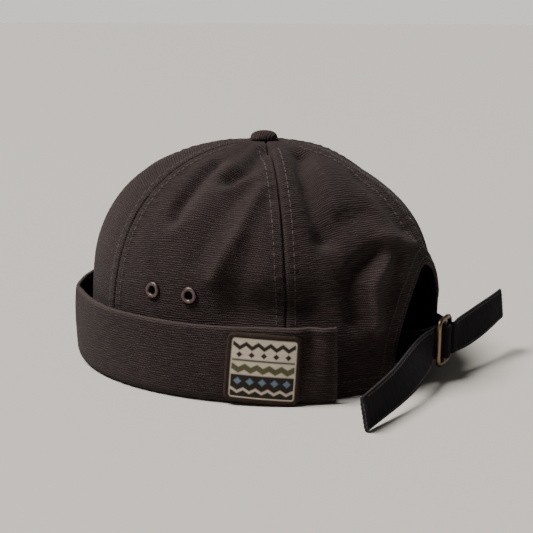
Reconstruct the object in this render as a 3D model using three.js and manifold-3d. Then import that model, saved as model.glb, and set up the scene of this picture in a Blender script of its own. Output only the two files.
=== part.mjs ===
// Brimless cloth cap: six crown panels, a button, a turned-up cuff, four eyelets,
// a sewn patch, two back straps and a slide buckle. Millimetres, +Z up, front at -Y.
import * as THREE from 'three';
import { mergeVertices } from 'three/addons/utils/BufferGeometryUtils.js';
import Module from 'manifold-3d';

const GAP = 0.3;

// Crown: an egg-shaped plan, a high round dome, one layer of canvas.
const HALF_LENGTH = 99;
const HALF_WIDTH = 83;
const EGG = 0.07;
const CROWN_HEIGHT = 118.5;
const CLOTH = 1.6;
const LOBE = 0.012;
const APEX = 0.988;

// Cuff: the canvas turned up round the head, open at the back.
const CUFF_END = 134;
const CUFF_CLOTH = 2.6;
const CUFF_REACH = { ends: 5.5, frontExtra: 3.5 };

// Back opening: straight legs below a round arch.
const ARCH = { halfWidth: 29, leg: 20, rise: 40, fullness: 1.6 };
const CUFF_CLEAR = CUFF_CLOTH + GAP;

// Trim.
const EYELET = { height: 50.3, angles: [78, 91], holeRadius: 1.7, barrelRadius: 2.4 };
const PATCH = { angle: 113.7, height: 18.5, size: 34.6, corner: 4, cloth: 1.2, tilt: 3.6 };
const STRAP = { width: 17.2, cloth: 1.6, wrap: 2.8, height: 20.5, leanLeft: 26, leanRight: -12 };
const BUCKLE = { y: 105.5, length: 19, height: 26, bar: 2.4, pitch: 8.3 };

// Folds in the cloth: half width, depth (below 0 is a valley), and the angles and heights they pass.
const FOLDS = [
  { width: 3.8, depth: -6.4, path: [[150, 115], [139, 110.5], [134.5, 101.5], [133.5, 89.5], [134, 79]] },
  { width: 6, depth: 1.3, path: [[146.5, 109.5], [140, 93]] },
  { width: 6.5, depth: -2.2, path: [[154, 89], [142.5, 86], [135.5, 79.5]] },
  { width: 7, depth: -2.6, path: [[170, 103], [171, 90], [174, 78]] },
  { width: 5, depth: 2, path: [[157, 77.5], [173, 72.5]] },
  { width: 5, depth: -4.6, path: [[152.5, 70], [144, 64], [141, 58], [142, 40]] },
  { width: 4.5, depth: 2.8, path: [[154.5, 66], [149, 55], [149, 36]] },
  { width: 4, depth: -1.6, path: [[162, 66], [157, 50]] },
  { width: 11.5, depth: -6.2, path: [[106, 45.5], [113, 45], [126, 44]] },
  { width: 6, depth: -1.3, path: [[116, 97], [111.5, 87], [109, 76]] },
  { width: 7, depth: -2, path: [[109.5, 69], [105, 57]] },
  { width: 3.8, depth: -3.8, path: [[82.5, 110], [81.5, 99.5], [80, 91], [80.5, 86]] },
  { width: 4.6, depth: -5, path: [[116, 117], [103.5, 109], [97, 104]] },
  { width: 6, depth: 1.8, path: [[91, 109.5], [90, 101], [87, 90.5], [82, 81]] },
  { width: 4.5, depth: 1.4, path: [[112, 107.5], [104.5, 104], [97, 100]] },
  { width: 6, depth: -1.8, path: [[105.5, 100], [99.5, 90.5], [95, 79], [92, 67]] },
  { width: 4.4, depth: 2, path: [[112, 100.5], [105.5, 83], [101.5, 73], [98, 60]] },
  { width: 24, depth: 1.3, path: [[18, 100], [28, 62]] },
  { width: 20, depth: -3.6, path: [[-160, 106], [-152, 66]] },
  { width: 7, depth: 1.8, path: [[-172, 55], [-166, 40]] },
  { width: 8, depth: -2, path: [[-140, 109], [-134, 98], [-133, 80]] },
  { width: 9, depth: -2.2, path: [[-112, 58], [-98, 60]] },
  { width: 6, depth: -2.2, path: [[-152, 68], [-143, 60], [-141, 42]] },
  { width: 6, depth: -1.6, path: [[-100, 114], [-82, 100], [-78, 88]] },
  { width: 14, depth: -3.5, path: [[145, 5], [160, 5]] },
  { width: 14, depth: -3, path: [[-145, 5], [-160, 5]] },
];

const FOLD_SHOWN = 10;
const FOLDED_ROWS = 16;

// Cuff section, floor edge to top edge: share of the reach, millimetres added, height, thickness.
const CUFF_SECTION = [
  { share: 0, plus: -1.8, up: 1.3, thick: 1 },
  { share: 0, plus: 0.6, up: 1.3, thick: 1 },
  { share: 1, plus: -2.4, up: 1.3, thick: 1 },
  { share: 1, plus: -0.9, up: 1.9, thick: 1 },
  { share: 1, plus: 0, up: 3.3, thick: 1 },
  { share: 1, plus: 0.4, up: 6, thick: 1 },
  { share: 1, plus: 0.5, up: 14, thick: 1 },
  { share: 1, plus: 0.2, up: 23, thick: 1 },
  { share: 1, plus: -0.5, up: 31, thick: 1 },
  { share: 1, plus: -1.1, up: 36.4, thick: 1 },
  { share: 1, plus: -1.2, up: 37.7, thick: 0.9 },
  { share: 1, plus: -1.2, up: 38.5, thick: 0.5 },
];

const UP = new THREE.Vector3(0, 0, 1);
const rad = THREE.MathUtils.degToRad;
const { smoothstep } = THREE.MathUtils;
const steps = (count, make) => Array.from({ length: count + 1 }, (_, i) => make(i / count));

// The plan curve at the crown's base, pushed outward by a distance.
function plan(angle, out = 0) {
  const s = Math.sin(rad(angle));
  const c = Math.cos(rad(angle));
  const x = HALF_WIDTH * s * (1 + EGG * c) + out * s;
  return new THREE.Vector3(x, -HALF_LENGTH * c - out * c, 0);
}

// Share of the way up the dome (0 base, 1 apex) at a height, and the reverse.
function riseAt(z) {
  const lift = Math.asin((Math.max(z, 0) / CROWN_HEIGHT) ** 1.6);
  return (lift / (Math.PI / 2)) ** (1 / 1.6);
}

// The crown before its folds are pressed in.
function smoothCrown(angle, rise) {
  const lift = (Math.PI / 2) * Math.max(rise, 0) ** 1.6;
  const z = CROWN_HEIGHT * Math.sin(lift) ** 0.625;
  const lobe = LOBE * Math.abs(Math.sin(rad(3 * angle))) * smoothstep(z, 42, 80);
  const p = plan(angle).multiplyScalar(Math.cos(lift) ** 0.909 * (1 + lobe));
  return p.setZ(z);
}

// Outward direction of a surface given as a function of angle and rise.
function facing(surface, angle, rise) {
  const along = surface(angle + 0.4, rise).sub(surface(angle - 0.4, rise));
  const low = Math.max(rise - 0.004, 0);
  const upward = surface(angle, low + 0.008).sub(surface(angle, low));
  return along.cross(upward).normalize();
}

// A fold narrower than the grid can show is made wider and, to match, shallower.
const foldLines = FOLDS.map(({ width, depth, path }) => {
  const spots = path.map(([angle, z]) => smoothCrown(angle, riseAt(z)));
  const lines = spots.slice(1).map((spot, k) => new THREE.Line3(spots[k], spot));
  const shown = Math.max(width, FOLD_SHOWN);
  return { lines, width: shown, depth: (depth * width) / shown };
});

function foldDepth(p) {
  const near = new THREE.Vector3();
  let sum = 0;
  for (const { width, depth, lines } of foldLines) {
    const gaps = lines.map((line) => line.closestPointToPoint(p, true, near).distanceTo(p));
    const away = Math.min(...gaps) / width;
    sum += depth * Math.exp(-away * away);
  }
  return sum;
}

// The crown's outer face, and a point a little way inside it.
function crown(angle, rise, inside = 0) {
  const p = smoothCrown(angle, rise);
  const out = facing(smoothCrown, angle, rise);
  return p.addScaledVector(out, foldDepth(p) - inside);
}

function geometry(points, faces) {
  const made = new THREE.BufferGeometry();
  made.setAttribute('position', new THREE.Float32BufferAttribute(points.flatMap((p) => p.toArray()), 3));
  made.setIndex(faces);
  return made;
}

// A closed sheet between a front grid of points and a back grid of the same size.
function sheet(front, back) {
  const rows = front.length;
  const cols = front[0].length;
  const faces = [];
  const at = (side, i, j) => (side * rows + i) * cols + j;
  const quad = (a, b, c, d) => faces.push(a, b, c, a, c, d);
  for (let i = 0; i + 1 < rows; i++) {
    for (let j = 0; j + 1 < cols; j++) {
      quad(at(0, i, j), at(0, i, j + 1), at(0, i + 1, j + 1), at(0, i + 1, j));
      quad(at(1, i, j), at(1, i + 1, j), at(1, i + 1, j + 1), at(1, i, j + 1));
    }
  }
  for (let j = 0; j + 1 < cols; j++) {
    quad(at(0, 0, j + 1), at(0, 0, j), at(1, 0, j), at(1, 0, j + 1));
    quad(at(0, rows - 1, j), at(0, rows - 1, j + 1), at(1, rows - 1, j + 1), at(1, rows - 1, j));
  }
  for (let i = 0; i + 1 < rows; i++) {
    quad(at(0, i, 0), at(0, i + 1, 0), at(1, i + 1, 0), at(1, i, 0));
    quad(at(0, i + 1, cols - 1), at(0, i, cols - 1), at(1, i, cols - 1), at(1, i + 1, cols - 1));
  }
  return geometry([...front.flat(), ...back.flat()], faces);
}

// A turned piece about Z: a profile that starts and ends on the axis, or a closed ring.
function turned(profile, count) {
  const closed = profile[0][0] > 0;
  const points = [];
  const rings = profile.map(([radius, z]) => {
    const first = points.length;
    const size = radius > 0 ? count : 1;
    for (let k = 0; k < size; k++) {
      const turn = (2 * Math.PI * k) / count;
      points.push(new THREE.Vector3(radius * Math.cos(turn), radius * Math.sin(turn), z));
    }
    return (k) => first + (k % size);
  });
  const faces = [];
  const last = closed ? rings.length : rings.length - 1;
  for (let i = 0; i < last; i++) {
    const low = rings[i];
    const high = rings[(i + 1) % rings.length];
    for (let k = 0; k < count; k++) {
      if (low(k) !== low(k + 1)) faces.push(low(k), low(k + 1), high(k));
      if (high(k) !== high(k + 1)) faces.push(low(k + 1), high(k + 1), high(k));
    }
  }
  return geometry(points, faces);
}

const kernel = await Module();
kernel.setup();

function solid(made) {
  const bare = new THREE.BufferGeometry();
  bare.setAttribute('position', made.getAttribute('position'));
  bare.setIndex(made.getIndex());
  const merged = mergeVertices(bare, 1e-4);
  return new kernel.Manifold(new kernel.Mesh({
    numProp: 3,
    vertProperties: new Float32Array(merged.getAttribute('position').array),
    triVerts: new Uint32Array(merged.getIndex().array),
  }));
}

function cut(made, cutters) {
  const rest = cutters.reduce((left, cutter) => left.subtract(solid(cutter)), solid(made));
  const mesh = rest.getMesh();
  const result = new THREE.BufferGeometry();
  result.setAttribute('position', new THREE.BufferAttribute(mesh.vertProperties, 3));
  result.setIndex(new THREE.BufferAttribute(mesh.triVerts, 1));
  return result;
}

// Lower edge of the crown as angle and height: over the cuff floor, then down to the ground at the back.
function hem(angle) {
  const past = THREE.MathUtils.clamp((Math.abs(angle) - CUFF_END - 0.6) / 2.4, 0, 1);
  return { angle, z: CUFF_CLEAR * (1 - past) };
}

// Lower edge of a back panel: along the hem, up the leg of the opening and over its arch.
function backEdge() {
  const toAngle = (x) => 180 - THREE.MathUtils.radToDeg(Math.asin(x / (HALF_WIDTH * (1 - EGG))));
  const corner = toAngle(ARCH.halfWidth);
  const along = [120, 124.5, 129.5, 134.6, 137, 143, 150, corner].map(hem);
  const legs = [0.35, 0.7].map((share) => ({ angle: corner, z: ARCH.leg * share }));
  const arch = steps(10, (t) => {
    const turn = (Math.PI / 2) * t;
    const x = ARCH.halfWidth * Math.max(Math.cos(turn), 0) ** (2 / ARCH.fullness);
    return { angle: toAngle(x), z: ARCH.leg + ARCH.rise * Math.sin(turn) ** (2 / ARCH.fullness) };
  });
  return [...along, ...legs, ...arch];
}

// One crown panel between two seams, from its lower edge to the ring under the button.
function panel(from, to, edge, rows = 12) {
  const middle = (from + to) / 2;
  const half = (to - from) / 2;
  const place = (low, high, share) => {
    const rise = THREE.MathUtils.lerp(riseAt(low.z), APEX, share);
    const angle = THREE.MathUtils.lerp(low.angle, high, share);
    const reach = smoothCrown(from, rise).setZ(0).length();
    const trim = THREE.MathUtils.radToDeg(GAP / 2 / reach) / half;
    return [middle + (angle - middle) * (1 - trim), rise];
  };
  const lengths = [0];
  for (let j = 1; j < edge.length; j++) {
    const a = crown(edge[j - 1].angle, riseAt(edge[j - 1].z));
    const b = crown(edge[j].angle, riseAt(edge[j].z));
    lengths.push(lengths[j - 1] + a.distanceTo(b));
  }
  const tops = lengths.map((length) => THREE.MathUtils.lerp(from, to, length / lengths.at(-1)));
  const grid = (inside) => steps(rows, (share) =>
    edge.map((low, j) => crown(...place(low, tops[j], share), inside)));
  return sheet(grid(0), grid(CLOTH));
}

const mirrored = (edge) => edge.map(({ angle, z }) => ({ angle: -angle, z })).reverse();
const between = (from, to) => steps(11, (t) => hem(THREE.MathUtils.lerp(from, to, t)));

// Turns a piece made about Z so that it stands on the crown at an angle, pointing out.
function onCrown(made, angle, z) {
  const out = facing((a, r) => crown(a, r), angle, riseAt(z));
  const turn = new THREE.Quaternion().setFromUnitVectors(UP, out);
  const spot = crown(angle, riseAt(z));
  return made.applyQuaternion(turn).translate(spot.x, spot.y, spot.z);
}

function eyelet(angle) {
  const { holeRadius: hole, barrelRadius: barrel } = EYELET;
  const under = -CLOTH - GAP;
  const ring = [
    [hole, under - 0.8], [3.6, under - 0.8], [3.6, under], [barrel, under],
    [barrel, GAP], [3.8, GAP], [3.6, 0.85], [2.8, 1.2], [2, 0.95], [hole, 0.4],
  ];
  return onCrown(turned(ring, 14), angle, EYELET.height);
}

function eyeletHole(angle) {
  const radius = EYELET.barrelRadius + GAP;
  const drill = turned([[0, -8], [radius, -8], [radius, 8], [0, 8]], 14);
  return onCrown(drill, angle, EYELET.height);
}

function sidePanel(from, to, angles, rows) {
  return cut(panel(from, to, between(from, to), rows), angles.map(eyeletHole));
}

const cuffReach = (angle) =>
  CUFF_REACH.ends + CUFF_REACH.frontExtra * Math.cos(rad(angle / 2)) ** 2;

// Middle line of the cuff's section at one angle, as distance out from the crown and height.
function cuffLine(angle) {
  const reach = cuffReach(angle) - CUFF_CLOTH / 2;
  return CUFF_SECTION.map(({ share, plus, up, thick }) =>
    ({ out: share * reach + plus, up, half: (thick * CUFF_CLOTH) / 2 }));
}

// A cuff face: side +1 is the outer face, -1 the inner one.
function cuffFace(angle, side) {
  const line = cuffLine(angle);
  return line.map(({ out, up, half }, i) => {
    const before = line[Math.max(i - 1, 0)];
    const after = line[Math.min(i + 1, line.length - 1)];
    const run = new THREE.Vector2(after.up - before.up, before.out - after.out).normalize();
    const p = plan(angle, out + side * half * run.x);
    return p.setZ(up + side * half * run.y);
  });
}

function cuff() {
  const angles = steps(56, (t) => THREE.MathUtils.lerp(-CUFF_END, CUFF_END, t));
  const face = (side) => {
    const columns = angles.map((angle) => cuffFace(angle, side));
    return CUFF_SECTION.map((_, row) => columns.map((column) => column[row]));
  };
  return sheet(face(1), face(-1));
}

// Distance of the cuff's outer face from the crown at a height.
function cuffOut(angle, z) {
  const face = cuffFace(angle, 1);
  const above = Math.max(face.findIndex((p) => p.z > z), 1);
  const share = (z - face[above - 1].z) / (face[above].z - face[above - 1].z);
  const p = face[above - 1].clone().lerp(face[above], share);
  return p.sub(plan(angle)).setZ(0).length();
}

// The square patch, bent over the cuff's outer face and hanging straight below the bottom fold.
function patch() {
  const half = PATCH.size / 2;
  const arc = THREE.MathUtils.radToDeg(1 / plan(PATCH.angle + 3).distanceTo(plan(PATCH.angle - 3))) * rad(6);
  const face = (lift) => steps(8, (v) => steps(10, (u) => {
    const side = THREE.MathUtils.lerp(-half, half, u);
    const past = Math.max(Math.abs(side) - half + PATCH.corner, 0);
    const reach = half - PATCH.corner + Math.sqrt(PATCH.corner ** 2 - past ** 2);
    const spot = new THREE.Vector2(side, THREE.MathUtils.lerp(-reach, reach, v));
    spot.rotateAround(new THREE.Vector2(), -rad(PATCH.tilt));
    const angle = PATCH.angle + spot.x * arc;
    const z = PATCH.height + spot.y;
    return plan(angle, cuffOut(angle, Math.max(z, 6)) + lift).setZ(z);
  }));
  return sheet(face(GAP + PATCH.cloth), face(GAP));
}

function button() {
  const base = CROWN_HEIGHT + GAP;
  return turned([
    [0, base - 3.4], [2.6, base - 3.4], [2.6, base], [6.9, base], [7.3, base + 0.9],
    [6.7, base + 2.6], [4.8, base + 4], [2.3, base + 4.7], [0, base + 4.9],
  ], 24);
}

// Centre of the strap where it is sewn inside a back panel, clear of the wall along both its edges.
function sewn(angle, side) {
  const inside = CLOTH + GAP + 0.2 + STRAP.cloth / 2;
  const edges = [-0.5, 0, 0.56].map((row) => STRAP.height + row * STRAP.width);
  const walls = edges.map((z) => crown(side * angle, riseAt(z), inside));
  const nearest = walls.sort((a, b) => Math.hypot(a.x, a.y) - Math.hypot(b.x, b.y))[0];
  return nearest.setZ(STRAP.height + 0.5);
}

const atBuckle = (x, y, z = STRAP.height) => new THREE.Vector3(x, BUCKLE.y + y, z);
const round = (barX, from, to) => steps(6, (t) => {
  const turn = rad(THREE.MathUtils.lerp(from, to, t));
  return atBuckle(barX + STRAP.wrap * Math.cos(turn), STRAP.wrap * Math.sin(turn));
});

// From the left corner, under the first bar, round the middle bar and back out along itself.
const leftPath = () => [
  sewn(149, 1), sewn(154, 1), sewn(159, 1), sewn(161.5, 1), atBuckle(16.5, -9),
  atBuckle(11.8, -5.9), atBuckle(8.3, -4.8), atBuckle(4, -4.1), ...round(0, 270, 90),
  atBuckle(2.6, 2.2), atBuckle(4.15, 0), atBuckle(5.7, -2.2), atBuckle(8.3, -2.9),
  atBuckle(14, -2.9, 20.2), atBuckle(30, -2.2, 17.8), atBuckle(52, -2.6, 13.6), atBuckle(89, -6.6, 8.8),
];

// From the right corner, round the last bar and back out over the frame.
const rightPath = () => [
  sewn(149, -1), sewn(154, -1), sewn(159, -1), sewn(161.5, -1), atBuckle(-17, -8.6), atBuckle(-12, -4.2),
  ...round(-BUCKLE.pitch, 270, 450),
  atBuckle(-12, 3.4, 20.8), atBuckle(-24, 5.8, 22), atBuckle(-42, 9.2, 24.6), atBuckle(-61.5, 11.9, 27.2),
];

// A strap stands on edge, and its free end, the last four spans of the path, leans over in the middle.
function strap(path, lean) {
  const curve = new THREE.CatmullRomCurve3(path, false, 'centripetal');
  const spans = path.length - 1;
  const twist = (t) => {
    const u = (t * spans - spans + 4) / 4;
    return rad(lean) * (smoothstep(u, 0.1, 0.5) - 0.75 * smoothstep(u, 0.6, 1));
  };
  const face = (side) => [-0.5, 0.5].map((row) => steps(3 * spans, (t) => {
    const p = curve.getPoint(t);
    const run = curve.getTangent(t);
    const out = run.clone().cross(UP).normalize();
    const wide = out.clone().cross(run).normalize().applyAxisAngle(run, twist(t));
    out.applyAxisAngle(run, twist(t));
    return p.addScaledVector(out, (side * STRAP.cloth) / 2).addScaledVector(wide, row * STRAP.width);
  }));
  return sheet(face(1), face(-1));
}

function roundedBox(target, x0, x1, half, corner) {
  target.moveTo(x0 + corner, -half);
  target.lineTo(x1 - corner, -half);
  target.quadraticCurveTo(x1, -half, x1, -half + corner);
  target.lineTo(x1, half - corner);
  target.quadraticCurveTo(x1, half, x1 - corner, half);
  target.lineTo(x0 + corner, half);
  target.quadraticCurveTo(x0, half, x0, half - corner);
  target.lineTo(x0, -half + corner);
  target.quadraticCurveTo(x0, -half, x0 + corner, -half);
  return target;
}

// The slide: a frame with two slots and a bar between them, standing across the back.
function buckle() {
  const { length, height, bar, pitch } = BUCKLE;
  const frame = roundedBox(new THREE.Shape(), -length / 2, length / 2, height / 2, 3);
  const slot = height / 2 - bar;
  frame.holes.push(roundedBox(new THREE.Path(), bar / 2, pitch - bar / 2, slot, 0.8));
  frame.holes.push(roundedBox(new THREE.Path(), bar / 2 - pitch, -bar / 2, slot, 0.8));
  const made = new THREE.ExtrudeGeometry(frame, {
    depth: bar - 0.8, curveSegments: 4,
    bevelThickness: 0.4, bevelSize: 0.4, bevelOffset: -0.4, bevelSegments: 1,
  });
  made.translate(0, 0, 0.4 - bar / 2).rotateX(Math.PI / 2);
  return made.translate(0, BUCKLE.y, STRAP.height);
}

const CANVAS = { color: 0x2b2626, roughness: 0.92, metalness: 0 };
const TAPE = { color: 0x15141a, roughness: 0.85, metalness: 0 };
const EMBLEM = { color: 0x6b5c48, roughness: 0.9, metalness: 0 };
const BRASS = { color: 0x7a6247, roughness: 0.4, metalness: 1 };

const [eyeFront, eyeBack] = EYELET.angles;
const pieces = [
  ['panel_front_left', panel(0, 60, between(0, 60)), CANVAS],
  ['panel_front_right', panel(-60, 0, between(-60, 0)), CANVAS],
  ['panel_side_left', sidePanel(60, 120, [eyeFront, eyeBack], FOLDED_ROWS), CANVAS],
  ['panel_side_right', sidePanel(-120, -60, [-eyeFront, -eyeBack]), CANVAS],
  ['panel_back_left', panel(120, 180, backEdge(), FOLDED_ROWS), CANVAS],
  ['panel_back_right', panel(-180, -120, mirrored(backEdge()), FOLDED_ROWS), CANVAS],
  ['top_button', button(), CANVAS],
  ['cuff', cuff(), CANVAS],
  ['eyelet_left_front', eyelet(eyeFront), BRASS],
  ['eyelet_left_back', eyelet(eyeBack), BRASS],
  ['eyelet_right_front', eyelet(-eyeFront), BRASS],
  ['eyelet_right_back', eyelet(-eyeBack), BRASS],
  ['patch', patch(), EMBLEM],
  ['strap_left', strap(leftPath(), STRAP.leanLeft), TAPE],
  ['strap_right', strap(rightPath(), STRAP.leanRight), TAPE],
  ['buckle', buckle(), BRASS],
];

// The origin is the middle of the whole cap's footprint, on the ground.
const cap = new THREE.Group();
cap.name = 'docker_cap';
const moved = new THREE.Group();
moved.name = 'cap_on_ground';
cap.add(moved);
for (const [name, made, look] of pieces) {
  const mesh = new THREE.Mesh(made, new THREE.MeshStandardMaterial(look));
  mesh.name = name;
  moved.add(mesh);
}
const box = new THREE.Box3().setFromObject(moved);
const centre = box.getCenter(new THREE.Vector3());
moved.position.set(-centre.x, -centre.y, -box.min.z);

export default cap;
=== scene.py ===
# %% [markdown]
# # A docker cap, piece by piece
# The cap is a brimless canvas cap: six crown panels under a button, a turned-up cuff,
# eyelets, a sewn patch, and two straps in a slide buckle.
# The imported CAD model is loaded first. Each piece made here is a finer copy of one of its
# solids, from the same sizes, so it lands where the CAD model says. Only the stitches are new.

# %% Load the CAD frame
import bpy
import numpy as np
from mathutils import Matrix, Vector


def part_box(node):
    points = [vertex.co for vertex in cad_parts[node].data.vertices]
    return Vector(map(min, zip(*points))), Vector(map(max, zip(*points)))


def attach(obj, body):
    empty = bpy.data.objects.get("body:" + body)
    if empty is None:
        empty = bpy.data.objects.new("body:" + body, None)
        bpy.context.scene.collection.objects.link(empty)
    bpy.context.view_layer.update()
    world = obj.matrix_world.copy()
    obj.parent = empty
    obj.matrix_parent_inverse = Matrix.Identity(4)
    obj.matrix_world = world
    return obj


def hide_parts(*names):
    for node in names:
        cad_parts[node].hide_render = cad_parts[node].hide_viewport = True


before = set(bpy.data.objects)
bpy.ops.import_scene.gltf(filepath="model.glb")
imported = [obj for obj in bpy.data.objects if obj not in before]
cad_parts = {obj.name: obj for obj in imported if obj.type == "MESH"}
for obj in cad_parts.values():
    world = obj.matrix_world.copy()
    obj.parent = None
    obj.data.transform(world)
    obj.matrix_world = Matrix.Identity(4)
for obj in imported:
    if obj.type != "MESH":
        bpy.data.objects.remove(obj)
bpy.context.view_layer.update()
button_low, button_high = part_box("top_button")
AXIS = np.array([*(button_low + button_high) / 2])
AXIS[2] = 0
print("CAD nodes:", len(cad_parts), "cap axis:", AXIS.round(4))

# %% [markdown]
# ## Sizes
# Sizes are in millimetres about the cap's own axis, with the front of the head at -Y.
# Most repeat the CAD source's values, because this file cannot read it.

# %% Sizes
HALF_LENGTH, HALF_WIDTH, EGG, CROWN_HEIGHT = 99.0, 83.0, 0.07, 118.5
RISE_POWER, REACH_POWER, LOBE, LOBE_HEIGHTS = 1.6, 0.909, 0.012, (42, 80)
CLOTH, APEX, SEAM_LAP = 1.6, 0.988, 0.2
CUFF_END, CUFF_CLOTH, CUFF_ENDS_REACH, CUFF_FRONT_EXTRA = 134.0, 2.6, 5.5, 3.5
ARCH_HALF, ARCH_LEG, ARCH_RISE, ARCH_FULL = 29.0, 20.0, 40.0, 1.6
EYELET_Z, EYELET_ANGLES, EYELET_FLANGE, EYELET_HOLE = 50.3, (78.0, 91.0), 4.4, 2.1
SEAM_STITCH, HEM_STITCHES = 4.8, (3.0, 8.0)
PATCH_ANGLE, PATCH_Z, PATCH_SIZE, PATCH_CORNER, PATCH_TILT = 113.7, 18.5, 34.6, 4.0, 3.6
STRAP_WIDTH, STRAP_CLOTH, STRAP_WRAP, STRAP_Z = 17.2, 1.6, 2.8, 20.5
LEAN_LEFT, LEAN_RIGHT = 26.0, -12.0
BUCKLE_Y, BUCKLE_LENGTH, BUCKLE_HEIGHT, BUCKLE_BAR, BUCKLE_PITCH = 105.5, 19.0, 26.0, 2.4, 8.3

# Folds in the canvas: half width, depth (below zero presses in), then the angles and heights
# that the fold passes.
FOLDS = (
    (5.4, -6.2, ((150, 115), (139, 110.5), (134.5, 101.5), (133.5, 89.5), (134, 79))),
    (6, 1.3, ((146.5, 109.5), (140, 93))),
    (6.5, -2.2, ((154, 89), (142.5, 86), (135.5, 79.5))),
    (7, -2.6, ((170, 103), (171, 90), (174, 78))),
    (5, 2, ((157, 77.5), (173, 72.5))),
    (5, -4.6, ((152.5, 70), (144, 64), (141, 58), (142, 40))),
    (4.5, 2.8, ((154.5, 66), (149, 55), (149, 36))),
    (4, -1.6, ((162, 66), (157, 50))),
    (11.5, -6.2, ((106, 45.5), (113, 45), (126, 44))),
    (6, -1.3, ((116, 97), (111.5, 87), (109, 76))),
    (7, -2, ((109.5, 69), (105, 57))),
    (3.8, -3.8, ((82.5, 110), (81.5, 99.5), (80, 91), (80.5, 86))),
    (4.6, -5, ((116, 117), (103.5, 109), (97, 104))),
    (6, 1.8, ((91, 109.5), (90, 101), (87, 90.5), (82, 81))),
    (4.5, 1.4, ((112, 107.5), (104.5, 104), (97, 100))),
    (6, -1.8, ((105.5, 100), (99.5, 90.5), (95, 79), (92, 67))),
    (4.4, 2, ((112, 100.5), (105.5, 83), (101.5, 73), (98, 60))),
    (24, 1.3, ((18, 100), (28, 62))),
    (20, -3.6, ((-160, 106), (-152, 66))),
    (7, 1.8, ((-172, 55), (-166, 40))),
    (8, -2, ((-140, 109), (-134, 98), (-133, 80))),
    (9, -2.2, ((-112, 58), (-98, 60))),
    (6, -2.2, ((-152, 68), (-143, 60), (-141, 42))),
    (6, -1.6, ((-100, 114), (-82, 100), (-78, 88))),
    (14, -3.5, ((145, 5), (160, 5))),
    (14, -3, ((-145, 5), (-160, 5))),
)

# Cuff section: share of the reach, millimetres added, height, share of the thickness.
CUFF_SECTION = np.array([
    (0, -1.8, 1.3, 1), (0, 0.6, 1.3, 1), (1, -2.4, 1.3, 1), (1, -0.9, 1.9, 1),
    (1, 0, 3.3, 1), (1, 0.4, 6, 1), (1, 0.5, 14, 1), (1, 0.2, 23, 1),
    (1, -0.5, 31, 1), (1, -1.1, 36.4, 1), (1, -1.2, 37.7, 0.9), (1, -1.2, 38.5, 0.5),
])
print("folds:", len(FOLDS), "cuff section rows:", len(CUFF_SECTION))

# %% [markdown]
# ## From arrays to pieces
# Each piece starts as a numpy array of points on a grid. These helpers turn grids into
# meshes: a sheet has a front face, a back face and a rim, and a tube closes on itself.
# Working on whole arrays is quicker to run and shorter to read than moving single vertices.

# %% Mesh helpers
def smoothstep(x, low, high):
    """0 below low, 1 above high, and an S-shaped ramp between them."""
    t = np.clip((x - low) / (high - low), 0, 1)
    return t * t * (3 - 2 * t)


def unit(v):
    """The same directions, each with length 1."""
    return v / np.maximum(np.linalg.norm(v, axis=-1, keepdims=True), 1e-9)


def bell(away, width):
    """A bell curve: 1 at no distance, then e to the power of minus the squared share of the width."""
    return np.exp(-((away / width) ** 2))


def softened(value, power):
    """A power of a value's size that keeps its sign; it squares off a circle's sine and cosine."""
    return np.sign(value) * np.abs(value) ** power


def full_turn(count):
    """Evenly spaced angles of one turn, without the last, which is the first again."""
    return np.linspace(0, 2 * np.pi, count, endpoint=False)


def walked(line):
    """Length along a line of points, from its start to each point."""
    return np.concatenate([[0], np.cumsum(np.linalg.norm(np.diff(line, axis=0), axis=1))])


def quads(a, b, c, d):
    """One four-sided face per entry of four equal index arrays."""
    return np.stack([np.ravel(a), np.ravel(b), np.ravel(c), np.ravel(d)], -1)


def sheet(front, back):
    """A closed sheet: the front grid, the back grid turned over, and a rim of faces joining them."""
    rows, cols = front.shape[:2]
    k = np.arange(rows * cols).reshape(rows, cols)
    n = k.size
    rim = np.concatenate([k[0, :-1], k[:-1, -1], k[-1, :0:-1], k[:0:-1, 0]])
    after = np.roll(rim, -1)
    faces = [
        quads(k[:-1, :-1], k[:-1, 1:], k[1:, 1:], k[1:, :-1]),
        quads(k[:-1, :-1] + n, k[1:, :-1] + n, k[1:, 1:] + n, k[:-1, 1:] + n),
        quads(after, rim, rim + n, after + n),
    ]
    return np.concatenate([front.reshape(-1, 3), back.reshape(-1, 3)]), np.concatenate(faces)


def tube(rings, closed):
    """Skin over rings of points: each ring closes on itself, and the row of rings may close too."""
    rows, cols = rings.shape[:2]
    i = np.arange(rows if closed else rows - 1)[:, None]
    j = np.arange(cols)[None, :]
    near, far = j, (j + 1) % cols
    low, high = i * cols, ((i + 1) % rows) * cols
    return rings.reshape(-1, 3), quads(low + near, low + far, high + far, high + near)


def joined(*parts):
    """Several (points, faces) pairs as one pair."""
    starts = np.cumsum([0] + [len(points) for points, _ in parts[:-1]])
    faces = [face + start for (_, face), start in zip(parts, starts)]
    return np.concatenate([points for points, _ in parts]), np.concatenate(faces)


def new_object(name, data):
    """An object in the scene that shows a mesh, a light or a camera."""
    made = bpy.data.objects.new(name, data)
    bpy.context.scene.collection.objects.link(made)
    return made


def new_mesh(name, points, faces):
    """A mesh from points in millimetres about the cap's axis."""
    mesh = bpy.data.meshes.new(name)
    mesh.from_pydata((points / 1000 + AXIS).tolist(), [], faces)
    return mesh


SHARP_ANGLE = np.radians(55)


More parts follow.
